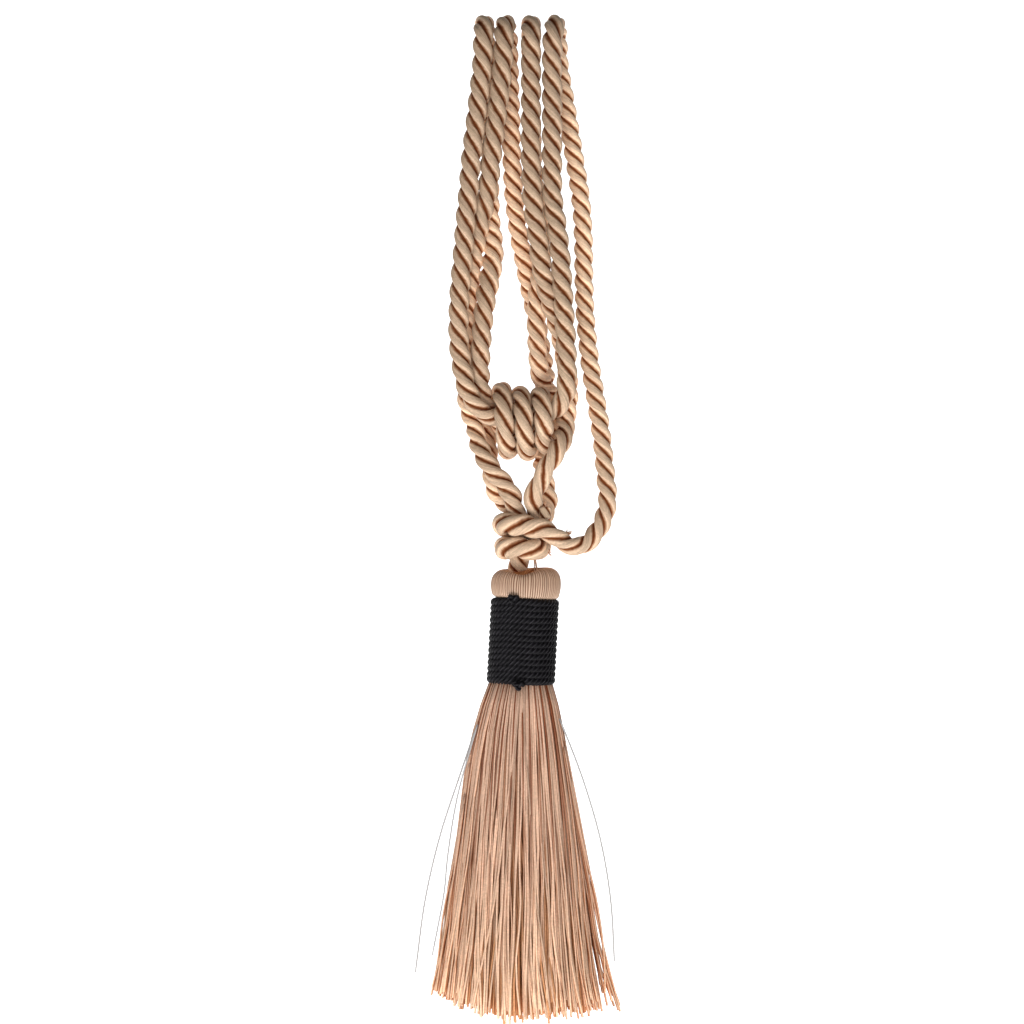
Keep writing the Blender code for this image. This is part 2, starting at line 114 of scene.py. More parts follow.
# Points (x, y, z) in millimetres, as in the part: legs from top to bottom, the rest along the rope.
FRONT_LEG_1 = [
    (-17.75, -9.75, -13), (-20.25, -9.75, -38), (-23.25, -9.75, -63), (-24.75, -9.8, -83),
    (-26.25, -9.8, -98), (-27.75, -9.5, -113), (-29.5, -9.5, -133), (-29.75, -9, -153),
    (-27.75, -8.5, -168), (-25.25, -8, -178), (-21.25, -7, -185), (-16.75, -5.5, -189.5),
]
FRONT_LEG_2 = [
    (-7.75, -9.75, -13), (-10.75, -9.5, -38), (-13.75, -8.5, -63), (-14.75, -7.5, -73),
    (-16.25, -6, -83), (-17.75, -5, -89), (-19.5, -2.5, -97), (-21.0, 0.5, -110),
    (-22.3, 2, -120.5), (-23.9, 3, -133), (-24.6, 3, -143), (-25.2, 3, -153), (-24.6, 3, -168),
    (-23.6, 3, -177), (-22.5, 3, -184.5), (-21.0, 2.8, -191.5), (-19.75, 1.5, -196.5),
    (-19.25, -1.5, -203), (-17, -5, -210.5), (-13.5, -6.5, -217), (-8.75, -7, -223),
    (-4.75, -7.5, -228.5), (-1.8, -7.5, -236), (0.5, -5.5, -242), (1.5, -4, -246.5),
]
FRONT_LEG_3 = [
    (6.25, -9.75, -13), (6.25, -9.75, -38), (6.25, -9.75, -63), (7, -9.5, -83),
    (9.75, -9.3, -103), (11.25, -8, -115), (13, -6, -124), (15.25, -4, -133),
    (18.25, -2, -143), (21, 0, -153), (22.75, 1, -163.5), (24, 1.5, -174.5),
    (23.25, 1.5, -183), (21.5, 0.5, -190), (20, -3, -197), (17.5, -10, -203.5),
    (14.5, -13, -210.5), (11, -12.5, -218), (7.75, -10.5, -226.5), (5.75, -8.5, -233),
    (6.5, -6, -239), (8, -4.3, -243.5), (8.5, -4, -246.5),
]
FRONT_LEG_4 = [
    (16.75, -9.75, -13), (16.75, -9.75, -38), (16.75, -9.75, -63), (17, -9.75, -83),
    (18.75, -9.8, -95.5), (20.5, -10, -113), (21.5, -10.5, -133), (23.25, -10.5, -153),
    (23.75, -10.5, -163.5), (23.75, -10, -174.5), (22.75, -9, -180), (20.25, -7.5, -185),
    (16.25, -5, -188.5),
]
BACK_LEG_1 = [
    (-16.25, 9.75, -13), (-15.75, 9.5, -38), (-14.75, 8, -63), (-14.75, 6, -83),
    (-15, 5.5, -95.5), (-14.5, 3, -108), (-15, 1, -114), (-15.75, -1, -120.5),
    (-17.25, -3.5, -133), (-18.5, -4.5, -153), (-18.5, -4, -168), (-17.25, -2, -176),
    (-15.25, 0.5, -182), (-12, 3, -188),
]
BACK_LEG_2 = [
    (-4.75, 9.75, -13), (-4, 9.75, -38), (-3.25, 9.75, -63), (-2, 9.75, -83), (1, 9.75, -103),
    (3.25, 10, -113), (5.25, 11, -123), (7.25, 11.5, -133), (9.25, 12, -143), (10.75, 12, -153),
    (12.5, 13, -163), (13.75, 16.5, -172), (14.25, 21, -179), (14, 25, -186), (13.25, 26, -194),
    (12.25, 22, -203), (11.25, 15, -210.5), (12.25, 8.5, -218), (13.75, 5, -228),
    (15, 4, -235.5), (14, 4, -242), (11.5, 4.2, -247),
]
BACK_LEG_3 = [
    (6.25, 9.75, -13), (6.5, 9.75, -38), (7.25, 9.75, -63), (9.25, 9.5, -83), (11.25, 8, -103),
    (11.25, 5, -118), (10.5, 2.5, -128), (9.75, 0.5, -138), (9.5, -0.5, -148), (9.5, 0, -158),
    (9.8, 2, -166), (10.5, 6, -172.5), (13, 11, -178), (16, 14.5, -185), (17.8, 15, -194),
    (16.5, 11.5, -202), (14.5, 4.5, -206.3), (13, -3, -206.3),
]
BACK_LEG_4 = [
    (20.25, 9.75, -13), (24.25, 9, -38), (28.25, 8, -63), (31.25, 6, -83), (32.5, 4, -103),
    (32.75, 3, -123), (33.25, 2, -138), (34.5, 1.5, -153), (36.25, 1, -168), (38.75, 0, -183),
    (41.75, -1, -203), (43.75, -2, -223), (44.5, -3, -233), (42.25, -4, -243),
    (36.75, -6, -251.75), (30.75, -8, -256), (23.75, -10, -254.5), (18.25, -12, -250.5),
]
LOWER_LEFT_BACK = [
    (1.5, 4, -249), (1.25, 4, -245), (0.25, 4, -240.5), (-2.75, 4, -237), (-6.75, 4, -234.5),
    (-10.25, 4, -231), (-12.5, 4.5, -226), (-13.5, 5, -220.5), (-14.75, 6, -213),
    (-15.75, 8.5, -207), (-16, 12, -201), (-15, 14.5, -194),
]
THROUGH_WRAP = [(-11, -3.5, -191), (-3, -3.3, -191), (5, -3.3, -191), (11.5, -3.6, -190.3)]
TUCKED_IN_WRAP = [(8, 3.4, -197.5), (0, 3.4, -197.5), (-7, 3.4, -196.5)]
KNOT_TURNS = [
    (13.25, -13, -247.5), (5.75, -13.3, -245.5), (-1.25, -12, -244.5), (-5.5, -7, -244),
    (-6.25, 0, -244.5), (-5.25, 7, -245.5), (-1.25, 12, -247), (4.25, 12.5, -249),
    (8.75, 9.5, -252), (10.75, 3, -254.5), (10.25, -4, -256.5), (7.25, -9, -257),
    (2.75, -10.5, -256.5), (-2.75, -9, -256.25), (-6.25, -3, -256.25), (-6, 4, -256.25),
    (-3.25, 9, -255.8), (1.5, 10.8, -257),
]
KNOT_HAIRPIN = [(7.3, -4, -249.5), (5, -4, -250.7), (2.7, -4, -249.5)]
NECK_POINTS = [(1.8, 0, -254.2), (1.2, 0, -257.5), (0.2, 0, -261), (-0.2, 0, -264.5), (0.1, 0, -268.3)]
ROPE_END_POINTS = [(13.6, -9.6, -242.2), (13.3, -9.2, -240), (12.9, -8.8, -237)]

# The tassel's foot and its collar's height and turns are as in the part.
TASSEL_FOOT = (1.05, 0.0, -325.5)
TASSEL_LEAN = math.radians(3.0)
COLLAR_HEIGHT = 43.4
COLLAR_TURNS = 14

# The collar's cord; outlines are the number of plies, their offset and radius, and points on each.
COLLAR_CORD_RADIUS = 2.2
COLLAR_PATH_RADIUS = 14.95
COLLAR_LIFT = 0.3
COLLAR_OUTLINE = (5, 1.0, 0.68, 6)
COLLAR_OUTLINE_RADIUS = 1.68
COLLAR_DRAWN_RADIUS = 2.3
COLLAR_LAY = 11.5
COLLAR_STEP = 0.7
POINTS_A_COLLAR_TURN = 48
LINING_SIDES = 64
# Rings of the dark sleeve under the cord, painted shade between its turns: radius, height up the tassel's
# axis.
LINING_RINGS = [(13.0, 0.5), (15.0, 0.8), (15.0, COLLAR_HEIGHT - 0.3), (13.0, COLLAR_HEIGHT)]

# The small knots of the black cord: the shape is its shares of the size and its depth in millimetres.
TIED_OUTLINE = (2, 0.74, 0.84, 8)
TIED_OUTLINE_RADIUS = 1.58
TIED_DRAWN_RADIUS = 1.5
TIED_LAY = 5.5
TIED_STEP = 0.5
TIED_POINTS = 40
TIED_SHAPE = (0.42, 0.28, 0.9)
COLLAR_OUTSIDE = 17.3
TIED_STAND = 1.1
# Each by x, height up the tassel's axis, and size.
TOP_KNOT = (-5.9, COLLAR_HEIGHT - 0.2, 2.6)
BOTTOM_KNOT = (-1.1, 0.4, 2.9)

# Head profile: radius, height up the tassel's axis, sideways shift.
HEAD_PROFILE = [
    (14.0, 43.0, 0.0), (15.2, 43.7, 0.0), (16.4, 44.6, 0.0), (17.1, 47.0, 0.0), (17.4, 50.5, 0.0),
    (16.9, 54.4, 0.0), (15.3, 57.3, -0.1), (12.9, 59.0, -0.5), (10.4, 59.5, -1.2),
    (8.2, 58.9, -2.2), (6.4, 57.5, -3.2), (5.2, 55.6, -3.8), (3.0, 54.9, -3.9),
]
# The head's threads, and the dimple round the neck.
HEAD_THREADS = 88
HEAD_SEED = 11
HEAD_STEP = 0.5
HEAD_POINTS = 8
HEAD_SWAY = 0.4
HEAD_FOOT = 43.0
HEAD_RISE = 16.0
HEAD_RIDGE = 0.5
HEAD_RIDGE_POWER = 0.6
HEAD_GROOVE = 0.35
HEAD_FULL_RADIUS = 9.0
HEAD_SINK = 0.9
HEAD_SINK_SLOPE = 0.09
DIMPLE_BACK_Y = 2.0
DIMPLE_DEPTH = 3.4
DIMPLE_CENTRE = (-1.6, -9.0)
DIMPLE_REACH = (6.0, 8.0)

# Skirt levels: z, left edge, right edge, half its depth.
SKIRT_LEVELS = [
    (-322.0, -13.6, 15.9, 13.4), (-328.0, -16.2, 17.8, 14.6), (-340.0, -20.3, 20.9, 16.4),
    (-357.0, -24.3, 24.1, 19.3), (-389.0, -29.0, 28.4, 23.5), (-421.0, -33.0, 32.2, 26.8),
    (-444.0, -35.6, 34.0, 29.0), (-466.0, -38.6, 36.6, 31.0), (-492.0, -42.2, 42.0, 32.6),
]
# Where the hem ends at the left, in the middle and at the right.
SKIRT_ENDS_Z = (-477.0, -489.5, -484.5)
HEM_POWER = 1.6
HEM_SCATTER = 2.2
HEM_LIFT = 5.0
HEM_LIFT_CHANCE = 0.10

# The skirt's threads gather into locks; the shares and angles are those of the root's circle.
THREAD_SEGMENTS = 12
# Threads that lie in the creases are thinner and get painted shade, weaker down the skirt.
CREASES = 62
CREASE_SHARE = 0.22
CREASED_THICKNESS = 0.8
LOCKS = 34
LOCK_SHIFT = 0.3
LOCK_LEAN = 0.05
LOCK_PULL = 0.38
THREAD_LEAN = 0.05
ASTRAY_CHANCE = 0.3
ASTRAY_SWEEP = (0.08, 0.42)
SWEEP_POWER = 1.2
THREAD_SPREAD = 0.03
EDGE_MARGIN = 0.02
WAVE_SIZE = (0.3, 1.3)
WAVE_PHASE = (0, 6.28)
WAVE_TURNS = (0.8, 3.0)
WAVE_SKEW = 1.7
THREAD_RADIUS = (0.40, 0.60)
THREAD_WIDENING = 0.1
# Layers: threads, seed, inner and outer edge of the root's circle, sides, millimetres shorter.
OUTER_LAYER = (330, 3, 0.92, 1.0, 6, 0.0)
MIDDLE_LAYER = (260, 4, 0.82, 0.91, 5, 1.0)
INNER_LAYER = (820, 7, 0.0, 0.80, 4, 3.5)

# Strands that hang apart: side, number, spread, and the heights between which they end.
LOOSE_SIDES = ((1, 12, 12.5, (-470.0, -488.0)), (-1, 7, 5.5, (-468.0, -480.0)))
LOOSE_SEED = 17
LOOSE_DEPTH = (-11.0, 9.0)
LOOSE_SPREAD = (0.15, 1.0)
LOOSE_TOP = (-340.0, -385.0)
LOOSE_ROOT = 1.2
LOOSE_WOBBLE = 1.2
LOOSE_POWER = 1.6
LOOSE_RADIUS = (0.45, 0.62)
STRAY_STEP = 4.0
STRAY_SIDES = 6

# Hairs and strays: x, y and z of a few points down each, in millimetres, and the thread's radius.
GREY_HAIRS = [
    ([(-21.0, -3, -346), (-29.5, -4, -371), (-39.0, -4, -400), (-46.5, -4, -432),
      (-51.5, -4, -469)], 0.42),
    ([(-20.5, -8, -345), (-30.5, -9, -381), (-35.5, -10, -412), (-37.0, -10, -428),
      (-43.0, -10, -460)], 0.40),
    ([(20.5, -6, -342), (32.0, -8, -372), (41.0, -8, -403), (46.0, -8, -433), (47.8, -8, -463)], 0.42),
]
STRAYS = [
    ([(23.0, -8, -353), (33.0, -9, -405), (39.5, -9, -440), (44.5, -9, -467), (50.5, -9, -485)], 0.55),
    ([(24.0, -4, -360), (31.0, -5, -395), (36.0, -5, -430), (41.0, -6, -460), (46.5, -6, -483)], 0.6),
    ([(26.0, -9, -372), (31.5, -10, -402), (39.0, -10, -434), (42.5, -11, -460), (43.0, -11, -478)], 0.6),
    ([(8.2, -5, -259.5), (8.5, -5, -263.5), (9.3, -5, -268.5)], 0.45),
    ([(7.6, -5, -259.5), (7.9, -5, -264.0), (8.0, -5, -268.5)], 0.3),
    ([(-27.0, -6, -380), (-31.5, -7, -410), (-37.5, -8, -440), (-40.5, -8, -465), (-43.5, -8, -480)], 0.55),
]

# Cut ends, each by its start, direction, length, spread and number of fibres.
FRAYED_TUFTS = [
    ((24.3, -10.5, -249.9), (0.6, 0.2, 0.45), 1.6, 0.8, 20),
    ((14.8, -7.0, -257.8), (0.45, -0.1, -1.0), 2.2, 0.6, 10),
    ((12.6, -8.9, -237.0), (0.05, -0.3, 0.8), 1.4, 1.7, 26),
]
FIBRE_SEED = 29
FIBRE_POINTS = 6
FIBRE_SIDES = 4
FIBRE_RADII = (0.32, 0.2)
FIBRE_LENGTH = (0.6, 1.1)
FIBRE_TILT = 0.45
FIBRE_CURL = 0.5

# Colours, linear.
# The rope's edge colour is a painted highlight; its shade and groove colours are painted shade.
ROPE_EDGE_PAINTED_HIGHLIGHT = (0.74, 0.525, 0.36, 1.0)
ROPE_BODY = (0.56, 0.395, 0.27, 1.0)
ROPE_SHADE = (0.33, 0.155, 0.08, 1.0)
ROPE_GROOVE_PAINTED_SHADE = (0.15, 0.040, 0.013, 1.0)
THREAD_TOP = (0.68, 0.44, 0.32, 1.0)
THREAD_END = (0.95, 0.635, 0.43, 1.0)
# The middle and deep layers' colours are darker, redder copies of the thread colour: painted shade inside
# the skirt.
THREAD_SHADE_TOP = (0.40, 0.205, 0.125, 1.0)
THREAD_SHADE_END = (0.70, 0.34, 0.16, 1.0)
THREAD_DEEP_SHADE_TOP = (0.24, 0.075, 0.030, 1.0)
THREAD_DEEP_SHADE_END = (0.68, 0.28, 0.11, 1.0)
CORD_BLACK = (0.0035, 0.003, 0.004, 1.0)
CORD_PAINTED_HIGHLIGHT = (0.024, 0.022, 0.026, 1.0)
GREY_HAIR = (0.46, 0.45, 0.445, 1)
CREASE_PAINTED_SHADE = (0.34, 0.15, 0.08, 1)
WHITE = (1, 1, 1, 1)
BACKDROP_WHITE = (0.92, 0.92, 0.92, 1)

# Ramps: places from 0 to 1 with their colours. The first and the last run across one ply.
# Across a ply: painted shade in the groove, painted highlight along both edges of the ply.
ROPE_ACROSS = [
    (0.00, ROPE_GROOVE_PAINTED_SHADE), (0.045, ROPE_GROOVE_PAINTED_SHADE), (0.12, ROPE_SHADE), (0.21, ROPE_EDGE_PAINTED_HIGHLIGHT), (0.27, ROPE_EDGE_PAINTED_HIGHLIGHT),
    (0.38, ROPE_BODY), (0.62, ROPE_BODY), (0.73, ROPE_EDGE_PAINTED_HIGHLIGHT), (0.79, ROPE_EDGE_PAINTED_HIGHLIGHT), (0.88, ROPE_SHADE),
    (0.955, ROPE_GROOVE_PAINTED_SHADE),
]
# Painted shade on each thread's side that faces into the skirt, none on the side facing out.
THREAD_SIDE_PAINTED_SHADE = [
    (0.28, (0.40, 0.20, 0.11, 1)), (0.50, (0.70, 0.49, 0.37, 1)), (0.72, (0.97, 0.94, 0.91, 1)),
    (1.0, WHITE),
]
# Across a head thread: painted shade in the crease between threads.
HEAD_CREASE_PAINTED_SHADE = [
    (0.0, WHITE), (0.50, (0.93, 0.91, 0.89, 1)), (0.76, (0.50, 0.38, 0.30, 1)),
    (1.0, (0.17, 0.085, 0.05, 1)),
]
# Up the head: paler at the foot as painted light, orange-brown towards the top and in the dimple as painted
# shade.
HEAD_PAINTED_LIGHT_BY_HEIGHT = [
    (0.0, (0.66, 0.48, 0.36, 1)), (0.30, (0.55, 0.375, 0.27, 1)), (0.50, (0.64, 0.43, 0.305, 1)),
    (0.66, (0.86, 0.53, 0.33, 1)), (0.90, (0.95, 0.50, 0.22, 1)),
]
# Across a cord ply: black with a painted highlight in its middle.
CORD_ACROSS = [(0.0, CORD_BLACK), (0.40, CORD_BLACK), (0.55, CORD_PAINTED_HIGHLIGHT), (0.70, CORD_BLACK)]

# The rope's painted light and shade: on the front ropes darker near the top and lighter low down by height,
# the back ropes painted lighter, with its share of front by depth: from and to in metres, then both values.
UPPER_PAINTED_SHADE = (-0.02, -0.16, 0.83, 0.97)
LOWER_PAINTED_LIGHT = (-0.17, -0.24, 1.0, 1.12)
FRONT_SHARE = (-0.001, -0.0065, 0.0, 1.0)
BACK_PAINTED_LIGHT = 1.55
NOISE_ROUGHNESS = 0.6

# Camera, stage and lamps, in metres, with the lens in millimetres. A lamp is name, place, size, watts.
CAMERA_PLACE = (-0.00325, -3.0, -0.239)
CAMERA_LENS = 211.0
STAGE_HALF = 5
STAGE_FRONT_Y = -4
FLOOR_Z = -1.9
BACKDROP_GLOW = 0.95
WORLD_LIGHT = 0.17
LAMP_AIM = (0, 0, -0.25)
LAMPS = [("key", (-0.4, -1.9, -1.4), 0.9, 32), ("fill", (0.5, -3.6, 0.1), 1.3, 34)]


def smooth_curve(points, step):
    """Points about `step` apart on a centripetal curve through every one of `points`."""
    p = np.array(points, dtype=float)
    first = 2 * p[0] - p[1]
    last = 2 * p[-1] - p[-2]
    p = np.vstack([first, p, last])
    fine = []
    for k in range(1, len(p) - 2):
        a, b, c, d = p[k - 1], p[k], p[k + 1], p[k + 2]
        t0 = 0.0
        t1 = t0 + math.sqrt(np.linalg.norm(b - a))
        t2 = t1 + math.sqrt(np.linalg.norm(c - b))
        t3 = t2 + math.sqrt(np.linalg.norm(d - c))
        for t in np.linspace(t1, t2, CURVE_POINTS, endpoint=False):
            ab = (t1 - t) / (t1 - t0) * a + (t - t0) / (t1 - t0) * b
            bc = (t2 - t) / (t2 - t1) * b + (t - t1) / (t2 - t1) * c
            cd = (t3 - t) / (t3 - t2) * c + (t - t2) / (t3 - t2) * d
            abc = (t2 - t) / (t2 - t0) * ab + (t - t0) / (t2 - t0) * bc
            bcd = (t3 - t) / (t3 - t1) * bc + (t - t1) / (t3 - t1) * cd
            fine.append((t2 - t) / (t2 - t1) * abc + (t - t1) / (t2 - t1) * bcd)
    fine.append(p[-2])
    return resample(np.array(fine), step)


def resample(p, step):
    """The same line with even steps of about `step`."""
    length = np.concatenate([[0.0], np.cumsum(np.linalg.norm(np.diff(p[:, :3], axis=0), axis=1))])
    count = max(2, int(round(length[-1] / step)) + 1)
    even = np.linspace(0.0, length[-1], count)
    return np.stack([np.interp(even, length, p[:, k]) for k in range(p.shape[1])], axis=1)


def bend(from_leg, to_leg):
    """The points over the hook, from the top of one leg to the top of another."""
    start, end = from_leg[0], to_leg[0]
    side = 1.0 if start[1] > 0 else -1.0
    points = []
    for degrees in BEND_ANGLES:
        share = degrees / 180.0
        angle = math.radians(degrees)
        x = start[0] + (end[0] - start[0]) * share
        y = side * BEND_RADIUS * math.cos(angle)
        z = -HOOK_RADIUS + BEND_RADIUS * math.sin(angle)
        points.append((x, y, z))
    return points


def wrap_turns():
    """The wrap's turns: over the top, down the front and up the back, stepping to the right."""
    count = int((WRAP_LAST_TURN - WRAP_FIRST_TURN) * POINTS_A_TURN)
    points = []
    for k in range(count + 1):
        turn = WRAP_FIRST_TURN + (WRAP_LAST_TURN - WRAP_FIRST_TURN) * k / count
        angle = 2 * math.pi * turn
        x = WRAP_TOP_X + WRAP_PITCH * turn
        points.append((x, -WRAP_RADIUS * math.sin(angle), WRAP_CENTRE_Z + WRAP_RADIUS * math.cos(angle)))
    return points


def rope_routes():
    """The two long ropes' own points, end to end."""
    loop_rope = (
        TUCKED_IN_WRAP + BACK_LEG_1[::-1] + bend(BACK_LEG_1, FRONT_LEG_1) + FRONT_LEG_1
        + THROUGH_WRAP + FRONT_LEG_4[::-1] + bend(FRONT_LEG_4, BACK_LEG_4) + BACK_LEG_4 + KNOT_TURNS
    )
    wrap_rope = (
        LOWER_LEFT_BACK + wrap_turns() + BACK_LEG_3[::-1] + bend(BACK_LEG_3, FRONT_LEG_3)
        + FRONT_LEG_3 + KNOT_HAIRPIN + FRONT_LEG_2[::-1] + bend(FRONT_LEG_2, BACK_LEG_2) + BACK_LEG_2
    )
    return [loop_rope, wrap_rope]


def within(rows, limits):
    """Which rows lie between the limits of every column."""
    low, high = np.array(limits).T
    return ((rows > low) & (rows < high)).all(axis=1)


def at_wrap(p):
    """Each point's distance from the wrap's axis, and its x."""
    return np.column_stack([np.hypot(p[:, 1], p[:, 2] - WRAP_CENTRE_Z), p[:, 0]])


def softened(values, times):
    """The values with their steps smoothed so many times, both ends kept."""
    for _ in range(times):
        values[1:-1] = (values[:-2] + 2 * values[1:-1] + values[2:]) / 4
    return values


def radius_at(p):
    """The rope is squeezed where it runs inside the wrap and inside the round knot."""
    radius = np.full(len(p), ROPE_RADIUS)
    radius[within(at_wrap(p), WRAP_CORE)] = COIL_CORE_RADIUS
    radius[within(p, KNOT_CORE)] = KNOT_CORE_RADIUS
    return softened(radius, 3)


def relaxed(routes):
    """The routes eased apart until no two ropes lie inside each other, mostly from front to back."""
    lines = [smooth_curve(r, RELAX_STEP) for r in routes]
    p = np.vstack(lines)
    rest = p.copy()
    starts = np.concatenate([[0], np.cumsum([len(line) for line in lines])])
    for done in range(RELAX_ROUNDS):
        if done % PAIR_ROUNDS == 0:
            i, j, keep = close_pairs(lines, p)
        apart = p[i] - p[j]
        distance = np.linalg.norm(apart, axis=1) + 1e-9
        short = np.clip(keep - distance, 0.0, MOST_PUSH)
        push = np.zeros_like(p)
        hits = np.zeros(len(p))
        for ends, sign in ((i, 1.0), (j, -1.0)):
            np.add.at(push, ends, sign * apart / distance[:, None] * short[:, None])
            np.add.at(hits, ends, short > 0)
        move = p - rest + PUSH_SHARE * push / np.maximum(1.0, hits)[:, None] * EASY_WAY
        for s, e in zip(starts[:-1], starts[1:]):
            part = move[s:e]
            part[1:-1] = part[1:-1] + SPREAD_SHARE * (part[:-2] - 2 * part[1:-1] + part[2:])
        p = rest + move
    return [p[s:e] for s, e in zip(starts[:-1], starts[1:])]


def close_pairs(lines, p):
    """Which points may press on each other, and how far apart each pair is kept."""
    rope_number = np.concatenate([np.full(len(line), k) for k, line in enumerate(lines)])
    along = np.concatenate([np.arange(len(line)) * RELAX_STEP for line in lines])
    radius = np.concatenate([radius_at(line) for line in lines])
    i, j = np.triu_indices(len(p), 1)
    same = rope_number[i] == rope_number[j]
    keep = radius[i] + radius[j] + np.where(same, OWN_GAP, OTHER_GAP)
    near = np.linalg.norm(p[i] - p[j], axis=1) < keep + PAIR_MARGIN
    near &= ~(same & (np.abs(along[i] - along[j]) < BEND_REACH))
    return i[near], j[near], keep[near]


def lay_rate(p):
    """Turns of the lay for each millimetre: tight at the back, longer in front, open in the knots."""
    front = np.clip((LAY_BACK_Y - p[:, 1]) / LAY_CHANGE, 0.0, 1.0)
    rate = (1 - front) / BACK_LAY + front / FRONT_LAY
    rate[within(at_wrap(p), WRAP_COIL)] = 1 / COIL_LAY
    rate[within(p, OPEN_BELOW_WRAP)] = 1 / OPEN_LAY
    rate[within(p, KNOT_LAID)] = 1 / KNOT_LAY
    return softened(rate, 4)


def frames(p):
    """The way ahead and two side vectors at each point, carried along without twist."""
    ahead = np.gradient(p, axis=0)
    ahead /= np.linalg.norm(ahead, axis=1)[:, None]
    side = np.zeros_like(p)
    first = np.cross(ahead[0], (0.0, 1.0, 0.0))
    if np.linalg.norm(first) < 0.05:
        first = np.cross(ahead[0], (1.0, 0.0, 0.0))
    side[0] = first / np.linalg.norm(first)
    for k in range(1, len(p)):
        turned = side[k - 1] - ahead[k] * np.dot(side[k - 1], ahead[k])
        side[k] = turned / np.linalg.norm(turned)
    return ahead, side, np.cross(ahead, side)


def ply_outline(plies, offset, ply_radius, points):
    """The outline of `plies` round strands side by side: angle, reach and ply coordinate."""
    half = math.pi / plies
    groove = offset * math.cos(half) + math.sqrt(ply_radius ** 2 - (offset * math.sin(half)) ** 2)
    edge = math.atan2(groove * math.sin(half), groove * math.cos(half) - offset)
    rows = []
    for ply in range(plies):
        for k in range(points):
            local = -edge + 2 * edge * k / points
            x = offset + ply_radius * math.cos(local)
            y = ply_radius * math.sin(local)
            angle = 2 * math.pi * ply / plies + math.atan2(y, x)
            rows.append((angle, math.hypot(x, y), ply + k / points))
    return rows


def mesh_object(name, vertices, faces, uv_name, uv, look):
    """A mesh given in millimetres, with one UV for each face corner and a material, smooth shaded."""
    mesh = bpy.data.meshes.new(name)
    flat = np.asarray(vertices, dtype=np.float64) * MM
    mesh.from_pydata(flat.tolist(), [], faces)
    layer = mesh.uv_layers.new(name=uv_name)
    layer.data.foreach_set("uv", np.asarray(uv, dtype=np.float32).ravel())
    mesh.polygons.foreach_set("use_smooth", [True] * len(mesh.polygons))
    mesh.materials.append(look)
    mesh.update()
    made = bpy.data.objects.new(name, mesh)
    bpy.context.scene.collection.objects.link(made)
    return made


def twisted_cord(name, path, radius, rate, outline, nominal, step, look):
    """A laid cord along a line; its UV runs across the plies and along the cord in millimetres."""
    line = resample(np.column_stack([path, radius, rate]), step)
    p, size = line[:, :3], line[:, 3] / nominal
    ahead, side, up = frames(p)
    travelled = np.concatenate([[0.0], np.cumsum(np.linalg.norm(np.diff(p, axis=0), axis=1))])
    angle = np.array([row[0] for row in outline])
    reach = np.array([row[1] for row in outline])
    across = [row[2] for row in outline]
    count = len(outline)
    plies = int(round(across[-1] + 0.5))
    turn = -2 * math.pi * np.concatenate([[0.0], np.cumsum(np.diff(travelled) * line[1:, 4])])
    theta = turn[:, None] + angle[None, :]
    away = np.cos(theta)[:, :, None] * side[:, None, :] + np.sin(theta)[:, :, None] * up[:, None, :]
    points = p[:, None, :] + away * (reach[None, :] * size[:, None])[:, :, None]
    vertices = points.reshape(-1, 3).tolist()
    faces = []
    uv = []
    for k in range(len(p) - 1):
        here, there = travelled[k], travelled[k + 1]
        for c in range(count):
            d = (c + 1) % count
            after = across[d] if d else float(plies)
            faces.append((k * count + c, k * count + d, (k + 1) * count + d, (k + 1) * count + c))
            uv += [(across[c], here), (after, here), (after, there), (across[c], there)]
    for ring, spot, flip in ((0, travelled[0], True), (len(p) - 1, travelled[-1], False)):
        centre = len(vertices)
        bulge = ahead[ring] * (-END_BULGE if flip else END_BULGE)
        vertices.append((p[ring] + bulge).tolist())
        for c in range(count):
            d = (c + 1) % count
            corners = (ring * count + c, ring * count + d, centre)
            faces.append(corners[::-1] if flip else corners)
            after = across[d] if d else float(plies)
            row = [(across[c], spot), (after, spot), ((across[c] + after) / 2, spot)]
            uv += row[::-1] if flip else row
    return mesh_object(name, vertices, faces, "lay", uv, look), p


